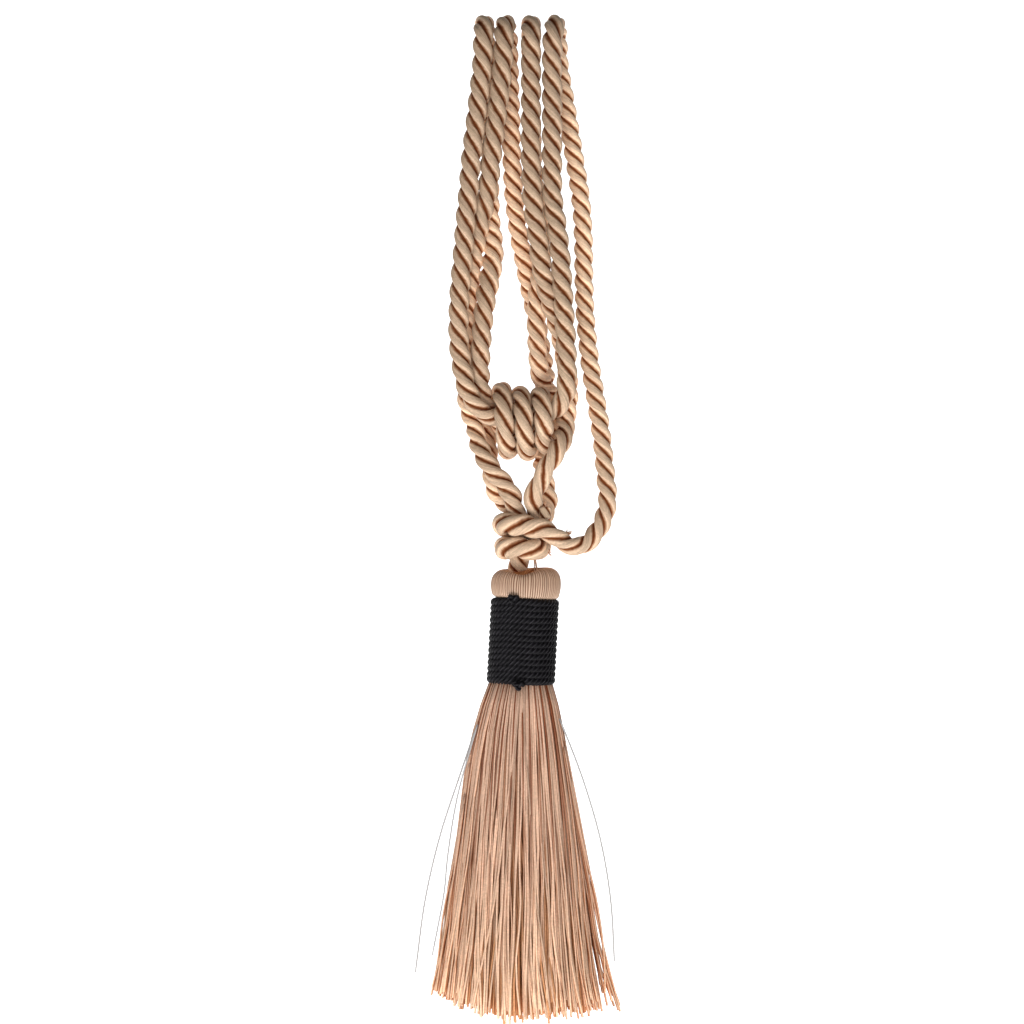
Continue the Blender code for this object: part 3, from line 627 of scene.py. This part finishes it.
class Nodes:
    """A short way to write a material's nodes."""

    def __init__(self, name):
        self.material = bpy.data.materials.new(name)
        self.material.use_nodes = True
        self.tree = self.material.node_tree
        self.shader = self.tree.nodes["Principled BSDF"]

    def add(self, kind, inputs=None, **settings):
        node = self.tree.nodes.new(kind)
        for key, value in settings.items():
            setattr(node, key, value)
        for key, value in (inputs or {}).items():
            if isinstance(value, bpy.types.NodeSocket):
                self.tree.links.new(value, node.inputs[key])
            else:
                node.inputs[key].default_value = value
        return node

    def maths(self, operation, a, b=None):
        inputs = {0: a}
        if b is not None:
            inputs[1] = b
        return self.add("ShaderNodeMath", inputs, operation=operation).outputs[0]

    def ramp(self, factor, stops):
        node = self.add("ShaderNodeValToRGB", {"Fac": factor})
        elements = node.color_ramp.elements
        while len(elements) < len(stops):
            elements.new(0.5)
        for element, (place, colour) in zip(elements, stops):
            element.position = place
            element.color = colour
        return node.outputs["Color"]

    def scaled(self, value, low, high, to_low, to_high):
        node = self.add("ShaderNodeMapRange", {"Value": value, "From Min": low, "From Max": high,
                                               "To Min": to_low, "To Max": to_high})
        return node.outputs[0]

    def product(self, first, *others):
        for other in others:
            first = self.maths("MULTIPLY", first, other)
        return first

    def brighter(self, colour, factor):
        return self.add("ShaderNodeVectorMath", {0: colour, "Scale": factor}, operation="SCALE").outputs[0]

    def noise(self, x, y, detail):
        place = self.add("ShaderNodeCombineXYZ", {0: x, 1: y})
        node = self.add("ShaderNodeTexNoise", {"Vector": place.outputs[0], "Scale": 1.0, "Detail": detail,
                                               "Roughness": NOISE_ROUGHNESS})
        return node.outputs[0]

    def grain(self, x, y, x_scale, y_scale, detail):
        return self.noise(self.maths("MULTIPLY", x, x_scale), self.maths("MULTIPLY", y, y_scale), detail)

    def mix(self, blend, factor, a, b):
        node = self.add("ShaderNodeMix", data_type="RGBA", blend_type=blend)
        for index, value in ((0, factor), (6, a), (7, b)):
            if isinstance(value, bpy.types.NodeSocket):
                self.tree.links.new(value, node.inputs[index])
            else:
                node.inputs[index].default_value = value
        return node.outputs[2]

    def link(self, value, socket):
        self.tree.links.new(value, self.shader.inputs[socket])


def rope_material():
    """Satin rope: painted red-brown shade in each groove with a painted highlight along the ply edge beside
    it, fine yarn lines along the plies.
    """
    n = Nodes("satin rope")
    uv = n.add("ShaderNodeUVMap", uv_map="lay")
    parts = n.add("ShaderNodeSeparateXYZ", {0: uv.outputs[0]})
    across, along = parts.outputs[0], parts.outputs[1]
    inside = n.maths("FRACT", across)
    wander = n.grain(across, along, x_scale=1.0, y_scale=0.35, detail=3.0)
    place = n.maths("ADD", inside, n.scaled(wander, 0.3, 0.7, -0.035, 0.035))
    # Painted shade in the grooves and painted highlights along the ply edges.
    colour = n.ramp(place, ROPE_ACROSS)
    yarn = n.grain(across, along, x_scale=17.0, y_scale=0.06, detail=3.0)
    patch = n.grain(across, along, x_scale=1.0, y_scale=0.03, detail=2.0)
    fine = n.grain(across, along, x_scale=30.0, y_scale=1.1, detail=4.0)
    spot = n.add("ShaderNodeTexCoord")
    spot = n.add("ShaderNodeSeparateXYZ", {0: spot.outputs["Object"]})
    # Painted light and shade: darker near the top, lighter low down, lighter at the back.
    front = n.scaled(spot.outputs[1], *FRONT_SHARE)
    painted_light = n.product(n.scaled(spot.outputs[2], *UPPER_PAINTED_SHADE), n.scaled(spot.outputs[2], *LOWER_PAINTED_LIGHT))
    painted_light = n.maths("ADD", n.maths("MULTIPLY", painted_light, front),
                   n.maths("MULTIPLY", n.maths("SUBTRACT", 1.0, front), BACK_PAINTED_LIGHT))
    factor = n.product(painted_light, n.scaled(yarn, 0.34, 0.66, 0.74, 1.16), n.scaled(patch, 0.3, 0.7, 0.93, 1.06),
                       n.scaled(fine, 0.3, 0.7, 0.70, 1.25))
    n.link(n.brighter(colour, factor), "Base Color")
    height = n.maths("ADD", yarn, n.maths("MULTIPLY", fine, 0.6))
    bump = n.add("ShaderNodeBump", {"Height": height, "Strength": 0.6, "Distance": 0.0008})
    n.link(bump.outputs[0], "Normal")
    off_crest = n.maths("ABSOLUTE", n.maths("SUBTRACT", inside, 0.5))
    n.link(n.scaled(off_crest, 0.30, 0.40, 0.2, 0.0), "Specular IOR Level")
    n.shader.inputs["Roughness"].default_value = 0.55
    return n.material


def thread_material(name, top, end, contrast):
    """Tassel thread: a shade of its own for every thread, paler and more orange to its end."""
    n = Nodes(name)
    uv = n.add("ShaderNodeUVMap", uv_map="thread")
    parts = n.add("ShaderNodeSeparateXYZ", {0: uv.outputs[0]})
    number = n.maths("FLOOR", parts.outputs[0])
    own, along = n.maths("MULTIPLY", number, 0.737), parts.outputs[1]
    # Painted shade: each thread darker on its side facing into the skirt.
    facing = n.scaled(n.maths("FRACT", parts.outputs[0]), 0.05, 0.95, 0.0, 1.0)
    sides = n.ramp(facing, THREAD_SIDE_PAINTED_SHADE)
    # Painted shade in the creases, weaker down the skirt.
    odd = n.maths("MODULO", number, 2.0)
    crease_shade = n.product(odd, n.scaled(along, 0.10, 0.75, 1.0, 0.35))
    sides = n.mix("MIX", crease_shade, sides, CREASE_PAINTED_SHADE)
    between = tuple(0.6 * t + 0.4 * e for t, e in zip(top, end))
    colour = n.ramp(along, [(0.0, top), (0.60, between), (0.95, end)])
    shade = n.noise(own, 0.0, 2.0)
    drift = n.noise(own, n.maths("MULTIPLY", along, 9.0), 2.0)
    slub = n.noise(own, n.maths("MULTIPLY", along, 150.0), 2.0)
    factor = n.product(n.scaled(shade, 0.32, 0.68, 1 - contrast, 1 + 0.6 * contrast),
                       n.scaled(drift, 0.3, 0.7, 0.86, 1.10), n.scaled(slub, 0.3, 0.7, 0.86, 1.12))
    n.link(n.brighter(n.mix("MULTIPLY", 1.0, colour, sides), factor), "Base Color")
    bump = n.add("ShaderNodeBump", {"Height": slub, "Strength": 0.3, "Distance": 0.0003})
    n.link(bump.outputs[0], "Normal")
    n.shader.inputs["Roughness"].default_value = 0.6
    n.shader.inputs["Specular IOR Level"].default_value = 0.2
    return n.material


def head_material():
    """The bun's threads: painted shade in the crease between each two, paler at the foot as painted light,
    painted orange-brown shade up in the dimple.
    """
    n = Nodes("head thread")
    uv = n.add("ShaderNodeUVMap", uv_map="thread")
    parts = n.add("ShaderNodeSeparateXYZ", {0: uv.outputs[0]})
    across, up = parts.outputs[0], parts.outputs[1]
    inside = n.maths("FRACT", across)
    off_crest = n.maths("MULTIPLY", n.maths("ABSOLUTE", n.maths("SUBTRACT", inside, 0.5)), 2.0)
    colour = n.mix("MULTIPLY", 1.0, n.ramp(up, HEAD_PAINTED_LIGHT_BY_HEIGHT), n.ramp(off_crest, HEAD_CREASE_PAINTED_SHADE))
    shade = n.noise(n.maths("MULTIPLY", n.maths("FLOOR", across), 3.7), 0.0, 2.0)
    streak = n.grain(across, up, x_scale=5.0, y_scale=6.0, detail=3.0)
    factor = n.product(n.scaled(shade, 0.3, 0.7, 0.80, 1.14), n.scaled(streak, 0.3, 0.7, 0.88, 1.10))
    n.link(n.brighter(colour, factor), "Base Color")
    n.shader.inputs["Roughness"].default_value = 0.6
    n.shader.inputs["Specular IOR Level"].default_value = 0.2
    return n.material


def black_material():
    """Dark wound cord with a soft painted highlight on each ply."""
    n = Nodes("black cord")
    uv = n.add("ShaderNodeUVMap", uv_map="lay")
    parts = n.add("ShaderNodeSeparateXYZ", {0: uv.outputs[0]})
    inside = n.maths("FRACT", parts.outputs[0])
    yarn = n.grain(parts.outputs[0], parts.outputs[1], x_scale=5.0, y_scale=0.3, detail=3.0)
    # Painted highlight on each ply, broken up by the yarn noise.
    colour = n.ramp(inside, CORD_ACROSS)
    n.link(n.brighter(colour, n.scaled(yarn, 0.35, 0.65, 0.2, 1.8)), "Base Color")
    bump = n.add("ShaderNodeBump", {"Height": yarn, "Strength": 0.4, "Distance": 0.0003})
    n.link(bump.outputs[0], "Normal")
    n.shader.inputs["Roughness"].default_value = 0.45
    n.shader.inputs["Specular IOR Level"].default_value = 0.13
    return n.material


def plain_material(name, colour, rough):
    """One flat colour."""
    n = Nodes(name)
    n.shader.inputs["Base Color"].default_value = colour
    n.shader.inputs["Roughness"].default_value = rough
    n.shader.inputs["Specular IOR Level"].default_value = 0.2
    return n.material


def tassel_point(x, y, height):
    """A point of the leaning tassel: across, in depth and up its axis."""
    return (
        TASSEL_FOOT[0] + x * math.cos(TASSEL_LEAN) + height * math.sin(TASSEL_LEAN),
        TASSEL_FOOT[1] + y,
        TASSEL_FOOT[2] - x * math.sin(TASSEL_LEAN) + height * math.cos(TASSEL_LEAN),
    )


def head(look):
    """The bun: threads side by side, folded over its top into the dimple round the neck."""
    profile = smooth_curve(HEAD_PROFILE, HEAD_STEP)
    points = HEAD_POINTS
    around = HEAD_THREADS * points
    rng = random.Random(HEAD_SEED)
    sway = [rng.uniform(-HEAD_SWAY, HEAD_SWAY) for _ in range(HEAD_THREADS)]
    vertices, faces, uv = [], [], []
    for radius, height, shift in profile:
        share = max(0.0, (height - HEAD_FOOT) / HEAD_RISE)
        for k in range(around):
            thread, part = divmod(k, points)
            ease = sway[thread] * (1 - part / points) + sway[(thread + 1) % HEAD_THREADS] * part / points
            angle = 2 * math.pi * (k + points * ease * share) / around
            ridge = HEAD_RIDGE * abs(math.sin(math.pi * part / points)) ** HEAD_RIDGE_POWER - HEAD_GROOVE
            reach = radius + ridge * min(1.0, radius / HEAD_FULL_RADIUS)
            x, y = shift + reach * math.cos(angle), reach * math.sin(angle)
            sink = HEAD_SINK - HEAD_SINK_SLOPE * x
            if y < DIMPLE_BACK_Y:
                aside = math.exp(-((x - DIMPLE_CENTRE[0]) / DIMPLE_REACH[0]) ** 2)
                deep = math.exp(-((y - DIMPLE_CENTRE[1]) / DIMPLE_REACH[1]) ** 2)
                sink += DIMPLE_DEPTH * aside * deep
            vertices.append(tassel_point(x, y, height - sink * share ** 2))
    rows = len(profile)
    for ring in range(rows - 1):
        low, high = ring / rows, (ring + 1) / rows
        for k in range(around):
            m = (k + 1) % around
            here, there = ring * around, (ring + 1) * around
            faces.append((here + k, here + m, there + m, there + k))
            left, right = k / points, (k + 1) / points - 0.0001
            uv += [(left, low), (right, low), (right, high), (left, high)]
    for ring, flip in ((0, True), (rows - 1, False)):
        cap = [ring * around + k for k in range(around)]
        faces.append(tuple(cap[::-1] if flip else cap))
        uv += [(0.5, ring / rows)] * around
    return mesh_object("head_threads", vertices, faces, "thread", uv, look)


def skirt_place(u, v, z):
    """Where the root's point (u, v) of the unit circle lies at height z."""
    levels = np.array(SKIRT_LEVELS)[::-1]
    left = np.interp(z, levels[:, 0], levels[:, 1])
    right = np.interp(z, levels[:, 0], levels[:, 2])
    depth = np.interp(z, levels[:, 0], levels[:, 3])
    return np.stack([(left + right) / 2 + u * (right - left) / 2, v * depth, z], axis=-1)


def end_height(u):
    """The uneven hem: short on the left, longest in the middle."""
    left, middle, right = SKIRT_ENDS_Z
    return middle + ((left if u < 0 else right) - middle) * min(1.0, abs(u)) ** HEM_POWER


def add_strand(store, line, radius, sides, creased=False):
    """One thread along a line, closed at both ends, added to a joined piece.

    Its UV holds the thread's number plus how far outward the spot faces, for a painted shade on the inward
    side, and the place along it.
    A thread that lies in a crease has an odd number, and gets painted shade.
    """
    ahead, side, up = frames(line)
    vertices, faces, uv = store
    first = len(vertices)
    last = len(line) - 1
    number = 2 * len(faces) + (1 if creased else 0)
    shown = []
    for k in range(len(line)):
        outward = np.array([line[k][0] - TASSEL_FOOT[0], line[k][1], 0.0])
        outward /= np.linalg.norm(outward) + 1e-6
        row = []
        for c in range(sides):
            angle = 2 * math.pi * c / sides
            away = math.cos(angle) * side[k] + math.sin(angle) * up[k]
            vertices.append((line[k] + away * radius[k]).tolist())
            row.append(number + 0.5 + 0.45 * float(np.dot(away, outward)))
        shown.append(row)
    for k in range(last):
        low, high = k / last, (k + 1) / last
        for c in range(sides):
            d = (c + 1) % sides
            faces.append((first + k * sides + c, first + k * sides + d,
                          first + (k + 1) * sides + d, first + (k + 1) * sides + c))
            uv += [(shown[k][c], low), (shown[k][d], low), (shown[k + 1][d], high), (shown[k + 1][c], high)]
    faces.append(tuple(first + c for c in range(sides))[::-1])
    uv += [(number + 0.5, 0.0)] * sides
    faces.append(tuple(first + last * sides + c for c in range(sides)))
    uv += [(number + 0.5, 1.0)] * sides


def skirt_threads(name, count, seed, inner_edge, outer_edge, sides, shorter, look):
    """A joined piece of hanging threads between two circles of the root, gathered into loose locks."""
    rng = random.Random(seed)
    store = ([], [], [])
    shares = np.linspace(0.0, 1.0, THREAD_SEGMENTS + 1)
    centres = [2 * math.pi * (k + rng.uniform(-LOCK_SHIFT, LOCK_SHIFT)) / LOCKS for k in range(LOCKS)]
    lean = [rng.gauss(0.0, LOCK_LEAN) for _ in range(LOCKS)]
    for k in range(count):
        angle = 2 * math.pi * (k + rng.uniform(-0.5, 0.5)) / count
        lock = int(angle / (2 * math.pi) * LOCKS) % LOCKS
        to_centre = (centres[lock] - angle + math.pi) % (2 * math.pi) - math.pi
        sweep = LOCK_PULL * to_centre + lean[lock] + rng.gauss(0.0, THREAD_LEAN)
        if rng.random() < ASTRAY_CHANCE:
            sweep += rng.choice((-1, 1)) * rng.uniform(*ASTRAY_SWEEP)
        reach = math.sqrt(rng.uniform(inner_edge ** 2, outer_edge ** 2))
        spread = rng.gauss(0.0, THREAD_SPREAD)
        turned = angle + sweep * shares ** SWEEP_POWER
        out = np.minimum(reach + spread * shares, outer_edge + EDGE_MARGIN)
        u, v = out * np.cos(turned), out * np.sin(turned)
        end = end_height(float(u[-1])) + shorter + rng.gauss(0.0, HEM_SCATTER)
        end += HEM_LIFT if rng.random() < HEM_LIFT_CHANCE else 0.0
        start = SKIRT_LEVELS[0][0]
        z = start + (end - start) * shares
        wave = rng.uniform(*WAVE_SIZE)
        phase = rng.uniform(*WAVE_PHASE)
        turns = rng.uniform(*WAVE_TURNS)
        line = skirt_place(u, v, z)
        line[:, 0] += wave * shares * np.sin(phase + turns * 2 * math.pi * shares)
        line[:, 1] += wave * shares * np.cos(phase * WAVE_SKEW + turns * 2 * math.pi * shares)
        radius = rng.uniform(*THREAD_RADIUS) + THREAD_WIDENING * shares
        creased = angle * CREASES / (2 * math.pi) % 1.0 < CREASE_SHARE
        if creased:
            radius *= CREASED_THICKNESS
        add_strand(store, line, radius, sides, creased)
    return mesh_object(name, store[0], store[1], "thread", store[2], look)


def loose_strands():
    """The strands along both sides of the skirt that hang a little apart from it."""
    rng = random.Random(LOOSE_SEED)
    strands = []
    for side, count, spread, bottoms in LOOSE_SIDES:
        for _ in range(count):
            depth = rng.uniform(*LOOSE_DEPTH)
            out = spread * rng.uniform(*LOOSE_SPREAD)
            top = rng.uniform(*LOOSE_TOP)
            bottom = rng.uniform(*bottoms)
            points = []
            for share in (0.0, 0.25, 0.5, 0.75, 1.0):
                z = top + (bottom - top) * share
                edge = skirt_place(float(side), 0.0, z)[0] - side * LOOSE_ROOT
                wobble = rng.uniform(-LOOSE_WOBBLE, LOOSE_WOBBLE) * share
                points.append((edge + side * (out * share ** LOOSE_POWER) + wobble, depth, z))
            strands.append((points, rng.uniform(*LOOSE_RADIUS)))
    return strands


def stray_threads(name, strands, look):
    """Threads or hairs apart from the rest, each by a few points and its radius."""
    store = ([], [], [])
    for points, thickness in strands:
        line = smooth_curve(points, STRAY_STEP)
        add_strand(store, line, np.full(len(line), thickness), STRAY_SIDES)
    return mesh_object(name, store[0], store[1], "thread", store[2], look)


def collar_shade_sleeve(look):
    """A dark sleeve under the cord: painted shade in the gaps between its turns."""
    sides = LINING_SIDES
    vertices, faces, uv = [], [], []
    for radius, height in LINING_RINGS:
        for k in range(sides):
            angle = 2 * math.pi * k / sides
            vertices.append(tassel_point(radius * math.cos(angle), radius * math.sin(angle), height))
    for ring in range(len(LINING_RINGS) - 1):
        for k in range(sides):
            m = (k + 1) % sides
            here, there = ring * sides, (ring + 1) * sides
            faces.append((here + k, here + m, there + m, there + k))
            uv += [(0.1, 0.0)] * 4
    return mesh_object("collar_shade_sleeve", vertices, faces, "lay", uv, look)


def collar_cord(look):
    """The black cord, wound round the waist from the skirt up to the head."""
    pitch = (COLLAR_HEIGHT - 2 * COLLAR_CORD_RADIUS) / (COLLAR_TURNS - 1)
    lowest = COLLAR_LIFT + COLLAR_CORD_RADIUS
    highest = COLLAR_LIFT + COLLAR_HEIGHT - COLLAR_CORD_RADIUS
    path = []
    for k in range(COLLAR_TURNS * POINTS_A_COLLAR_TURN + 1):
        angle = 2 * math.pi * k / POINTS_A_COLLAR_TURN + 0.5 * math.pi
        height = lowest + pitch * (k / POINTS_A_COLLAR_TURN - 0.5)
        height = min(max(height, lowest), highest)
        path.append(tassel_point(COLLAR_PATH_RADIUS * math.cos(angle),
                                 COLLAR_PATH_RADIUS * math.sin(angle), height))
    path = np.array(path)
    size, rate = np.full(len(path), COLLAR_DRAWN_RADIUS), np.full(len(path), 1 / COLLAR_LAY)
    made, _ = twisted_cord("collar_cord", path, size, rate, ply_outline(*COLLAR_OUTLINE),
                           COLLAR_OUTLINE_RADIUS, COLLAR_STEP, look)
    return made


def tied_knot(name, x, height, size, look):
    """A small knot of the black cord on the collar's outside: three loops through one middle."""
    wide, high, thick = TIED_SHAPE
    out = -math.sqrt(COLLAR_OUTSIDE ** 2 - x * x) - TIED_STAND
    path = []
    for k in range(TIED_POINTS + 1):
        t = 2 * math.pi * k / TIED_POINTS
        across = size * (math.sin(t) + math.sin(2 * t)) * wide
        tall = size * (math.cos(t) - math.cos(2 * t)) * high
        deep = -thick * math.sin(3 * t)
        path.append(tassel_point(x + across, out + deep, height + tall))
    path = np.array(path)
    line_size, rate = np.full(len(path), TIED_DRAWN_RADIUS), np.full(len(path), 1 / TIED_LAY)
    made, _ = twisted_cord(name, path, line_size, rate, ply_outline(*TIED_OUTLINE),
                           TIED_OUTLINE_RADIUS, TIED_STEP, look)
    return made


def frayed(name, tufts, look):
    """Short loose fibres where the rope has been cut."""
    rng = random.Random(FIBRE_SEED)
    store = ([], [], [])
    for start, direction, length, spread, count in tufts:
        for _ in range(count):
            root = np.array(start) + np.array([rng.uniform(-1, 1) * spread for _ in range(3)])
            way = np.array(direction) + np.array([rng.uniform(-FIBRE_TILT, FIBRE_TILT) for _ in range(3)])
            curl = np.array([rng.uniform(-FIBRE_CURL, FIBRE_CURL) for _ in range(3)])
            shares = np.linspace(0.0, 1.0, FIBRE_POINTS)
            reach = length * rng.uniform(*FIBRE_LENGTH)
            line = root + shares[:, None] * way * reach + shares[:, None] ** 2 * curl * reach
            add_strand(store, line, np.linspace(*FIBRE_RADII, FIBRE_POINTS), FIBRE_SIDES)
    return mesh_object(name, store[0], store[1], "thread", store[2], look)


def add_camera():
    """Straight on, three metres back, framed as the photograph is."""
    data = bpy.data.cameras.new("camera")
    data.sensor_width = 36.0
    data.lens = CAMERA_LENS
    data.clip_end = 20.0
    camera = bpy.data.objects.new("camera", data)
    camera.location = CAMERA_PLACE
    camera.rotation_euler = (math.radians(90), 0.0, 0.0)
    bpy.context.scene.collection.objects.link(camera)
    bpy.context.scene.camera = camera


def add_light(name, place, aim, size, power):
    """A soft square lamp aimed at a point."""
    data = bpy.data.lights.new(name, "AREA")
    data.size = size
    data.energy = power
    lamp = bpy.data.objects.new(name, data)
    lamp.location = place
    way = np.array(aim) - np.array(place)
    lamp.rotation_euler = (
        math.atan2(math.hypot(way[0], way[1]), -way[2]), 0.0, math.atan2(-way[0], way[1]))
    bpy.context.scene.collection.objects.link(lamp)


def add_stage():
    """A glowing white wall and floor, a dim white world and two lamps."""
    n = Nodes("white backdrop")
    n.shader.inputs["Base Color"].default_value = BACKDROP_WHITE
    n.shader.inputs["Roughness"].default_value = 0.9
    n.shader.inputs["Emission Color"].default_value = WHITE
    n.shader.inputs["Emission Strength"].default_value = BACKDROP_GLOW
    half, near, low = STAGE_HALF, STAGE_FRONT_Y, FLOOR_Z
    for name, corners in (
        ("backdrop", [(-half, half, low), (half, half, low), (half, half, half), (-half, half, half)]),
        ("floor", [(-half, near, low), (half, near, low), (half, half, low), (-half, half, low)]),
    ):
        mesh = bpy.data.meshes.new(name)
        mesh.from_pydata(corners, [], [(0, 1, 2, 3)])
        mesh.materials.append(n.material)
        made = bpy.data.objects.new(name, mesh)
        bpy.context.scene.collection.objects.link(made)
    world = bpy.data.worlds.new("studio")
    world.use_nodes = True
    world.node_tree.nodes["Background"].inputs[0].default_value = WHITE
    world.node_tree.nodes["Background"].inputs[1].default_value = WORLD_LIGHT
    bpy.context.scene.world = world
    bpy.context.scene.view_settings.view_transform = "Standard"
    for name, place, size, power in LAMPS:
        add_light(name, place, LAMP_AIM, size, power)


def laid_radius(p):
    """The drawn rope's radius: thicker where its plies stand open or ropes are pressed together."""
    radius = radius_at(p)
    turns = within(p, KNOT_OPEN) & (radius > LEAST_OPEN_RADIUS)
    wide = np.where(turns, KNOT_SWELL, np.where(within(p, ABOVE_KNOT), ABOVE_KNOT_SWELL, 1.0))
    wide = wide * np.where(within(p, FRONT_LEGS), FRONT_SWELL, 1.0)
    wide = np.where(within(p, CROSSING), CROSSING_SWELL, wide)
    return radius * softened(wide, 5)


def add_ropes():
    """Both long ropes, the neck and the cut end."""
    look = rope_material()
    outline = ply_outline(PLY_COUNT, PLY_OFFSET, PLY_RADIUS, PLY_POINTS)
    for name, path in zip(("loop_rope", "wrap_rope"), relaxed(rope_routes())):
        made, line = twisted_cord(name + "_laid", path, laid_radius(path), lay_rate(path), outline,
                                  ROPE_RADIUS, FINE_STEP, look)
        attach(made, "root")
        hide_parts(name)
    neck = smooth_curve(NECK_POINTS, STUB_CURVE_STEP)
    neck_size = np.interp(neck[:, 2], NECK_FLARE_Z, (NECK_RADIUS + NECK_FLARE, KNOT_CORE_RADIUS))
    end = smooth_curve(ROPE_END_POINTS, STUB_CURVE_STEP)
    end_size = np.full(len(end), ROPE_END_RADIUS)
    for name, line, radius in (("neck_rope", neck, neck_size), ("rope_end", end, end_size)):
        made, _ = twisted_cord(name + "_laid", line, radius, np.full(len(line), 1 / FRONT_LAY), outline,
                               ROPE_RADIUS, STUB_STEP, look)
        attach(made, "root")
        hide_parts(name)


def add_tassel():
    """Head, skirt, strays, collar and knots."""
    outer_look = thread_material("skirt thread", THREAD_TOP, THREAD_END, 0.42)
    # Darker copies for the threads behind and deep inside: painted shade.
    middle_shade_look = thread_material("skirt thread behind", THREAD_SHADE_TOP, THREAD_SHADE_END, 0.45)
    deep_shade_look = thread_material("skirt thread deep", THREAD_DEEP_SHADE_TOP, THREAD_DEEP_SHADE_END, 0.4)
    grey_look = plain_material("grey hair", GREY_HAIR, 0.5)
    dark = black_material()
    threads = [
        head(head_material()),
        skirt_threads("skirt_outer", *OUTER_LAYER, outer_look),
        skirt_threads("skirt_middle", *MIDDLE_LAYER, middle_shade_look),
        skirt_threads("skirt_inner", *INNER_LAYER, deep_shade_look),
        stray_threads("stray_threads", STRAYS + loose_strands(), outer_look),
        stray_threads("stray_hairs", GREY_HAIRS, grey_look),
        frayed("frayed_ends", FRAYED_TUFTS, outer_look),
    ]
    for piece in threads:
        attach(piece, "root")
    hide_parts("tassel")
    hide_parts("tassel")
    pieces = [
        (collar_cord(dark), "collar"),
        # The dark sleeve is painted shade between the cord's turns.
        (collar_shade_sleeve(dark), "collar"),
        (tied_knot("knot_top", *TOP_KNOT, dark), "collar_knot_top"),
        (tied_knot("knot_bottom", *BOTTOM_KNOT, dark), "collar_knot_bottom"),
    ]
    for piece, node in pieces:
        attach(piece, "root")
        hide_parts(node)


add_camera()
add_ropes()
add_tassel()
add_stage()
